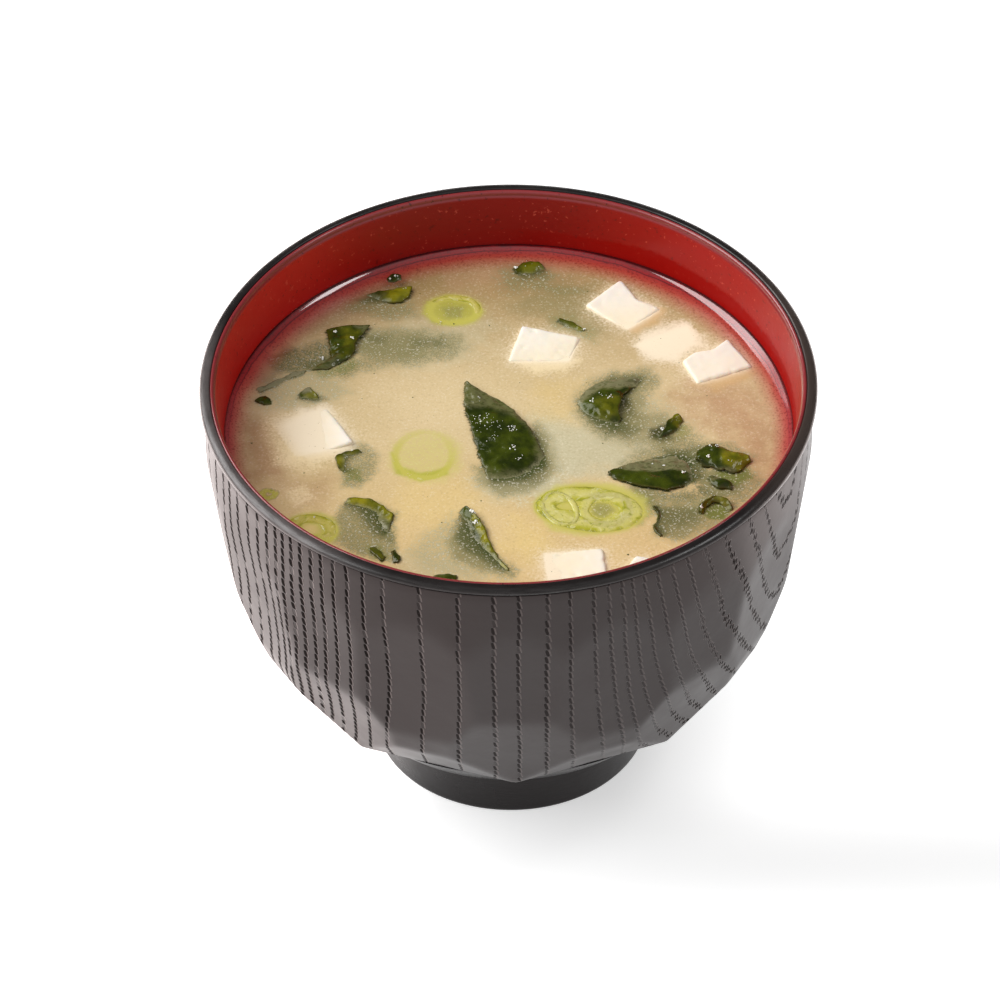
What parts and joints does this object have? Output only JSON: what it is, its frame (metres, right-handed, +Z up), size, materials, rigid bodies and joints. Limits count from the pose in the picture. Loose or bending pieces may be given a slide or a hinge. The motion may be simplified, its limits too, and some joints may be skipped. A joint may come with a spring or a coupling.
{
  "type": "bowl of miso soup",
  "caption": "Miso soup with tofu blocks, wakame leaves and spring-onion slices in a tall facet-cut black lacquer bowl with a round foot and a red inside.",
  "frame": {"origin": "on the floor under the axis of the bowl", "axes": "+Z up along the bowl's axis, +X to the right, the front is -Y"},
  "size_m": [0.112, 0.112, 0.084],
  "materials": {
    "black_lacquer": "black-brown lacquer over an embossed wood grain, smooth foot, red lacquer inside",
    "miso_broth": "cloudy tan broth with a wet surface",
    "bean_curd": "soft white bean curd, wet",
    "seaweed": "dark green to olive-brown wet leaf",
    "spring_onion": "yellow-green wet onion layers"
  },
  "bodies": {
    "root": {"bowl": "black_lacquer", "broth": "miso_broth", "tofu_left": "bean_curd", "tofu_centre": "bean_curd", "tofu_back": "bean_curd", "tofu_sunk": "bean_curd", "tofu_right": "bean_curd", "tofu_front": "bean_curd", "tofu_edge": "bean_curd", "wakame_centre": "seaweed", "wakame_left_back": "seaweed", "wakame_film": "seaweed", "wakame_back_left": "seaweed", "wakame_bit_back": "seaweed", "wakame_back": "seaweed", "wakame_right": "seaweed", "wakame_small_right": "seaweed", "wakame_long_right": "seaweed", "wakame_curl_right": "seaweed", "wakame_fold_right": "seaweed", "wakame_arch_right": "seaweed", "wakame_pale_right": "seaweed", "wakame_small_left": "seaweed", "wakame_front_left": "seaweed", "wakame_front": "seaweed", "wakame_dark_left": "seaweed", "wakame_grey_left": "seaweed", "wakame_lip": "seaweed", "wakame_shred": "seaweed", "wakame_green_front": "seaweed", "wakame_dark_front": "seaweed", "onion_back": "spring_onion", "onion_sunk": "spring_onion", "onion_big": "spring_onion", "onion_left": "spring_onion", "onion_bit": "spring_onion"}
  },
  "joints": []
}
